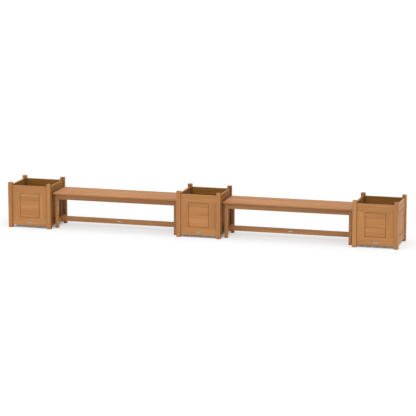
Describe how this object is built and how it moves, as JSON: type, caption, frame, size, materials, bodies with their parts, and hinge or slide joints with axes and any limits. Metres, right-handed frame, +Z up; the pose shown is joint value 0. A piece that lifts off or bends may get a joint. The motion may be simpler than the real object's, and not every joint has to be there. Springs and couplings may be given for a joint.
{
  "type": "bench with planter",
  "caption": "Long outdoor row of square panelled timber planter boxes with a backless slatted bench between each pair, for seating and planting.",
  "frame": {"origin": "on the ground under the middle of the middle planter", "axes": "+X along the row to the right end, -Y towards the front with the oval plates, +Z up"},
  "size_m": [4.612, 0.522, 0.531],
  "materials": {
    "teak": "sanded, unoiled",
    "teak_pegs": "sanded end grain",
    "stainless_steel": "plain",
    "plate_metal": "satin, blank"
  },
  "bodies": {
    "root": {"left_bench_aprons": "teak", "left_bench_legs": "teak", "left_bench_low_end_rails": "teak", "left_bench_pegs": "teak_pegs", "left_bench_plate": "plate_metal", "left_bench_screws": "stainless_steel", "left_bench_seat_battens": "teak", "left_bench_seat_boards": "teak", "left_bench_stretcher": "teak", "left_bench_top_end_rails": "teak", "left_planter_bottom_rails": "teak", "left_planter_floor_bearers": "teak", "left_planter_floor_slats": "teak", "left_planter_panels": "teak", "left_planter_pegs": "teak_pegs", "left_planter_plate": "plate_metal", "left_planter_post_back_left": "teak", "left_planter_post_back_right": "teak", "left_planter_post_front_left": "teak", "left_planter_post_front_right": "teak", "left_planter_screws": "stainless_steel", "left_planter_stiles": "teak", "left_planter_top_rails": "teak", "middle_planter_bottom_rails": "teak", "middle_planter_floor_bearers": "teak", "middle_planter_floor_slats": "teak", "middle_planter_panels": "teak", "middle_planter_pegs": "teak_pegs", "middle_planter_plate": "plate_metal", "middle_planter_post_back_left": "teak", "middle_planter_post_back_right": "teak", "middle_planter_post_front_left": "teak", "middle_planter_post_front_right": "teak", "middle_planter_screws": "stainless_steel", "middle_planter_stiles": "teak", "middle_planter_top_rails": "teak", "right_bench_aprons": "teak", "right_bench_legs": "teak", "right_bench_low_end_rails": "teak", "right_bench_pegs": "teak_pegs", "right_bench_plate": "plate_metal", "right_bench_screws": "stainless_steel", "right_bench_seat_battens": "teak", "right_bench_seat_boards": "teak", "right_bench_stretcher": "teak", "right_bench_top_end_rails": "teak", "right_planter_bottom_rails": "teak", "right_planter_floor_bearers": "teak", "right_planter_floor_slats": "teak", "right_planter_panels": "teak", "right_planter_pegs": "teak_pegs", "right_planter_plate": "plate_metal", "right_planter_post_back_left": "teak", "right_planter_post_back_right": "teak", "right_planter_post_front_left": "teak", "right_planter_post_front_right": "teak", "right_planter_screws": "stainless_steel", "right_planter_stiles": "teak", "right_planter_top_rails": "teak"}
  },
  "joints": []
}
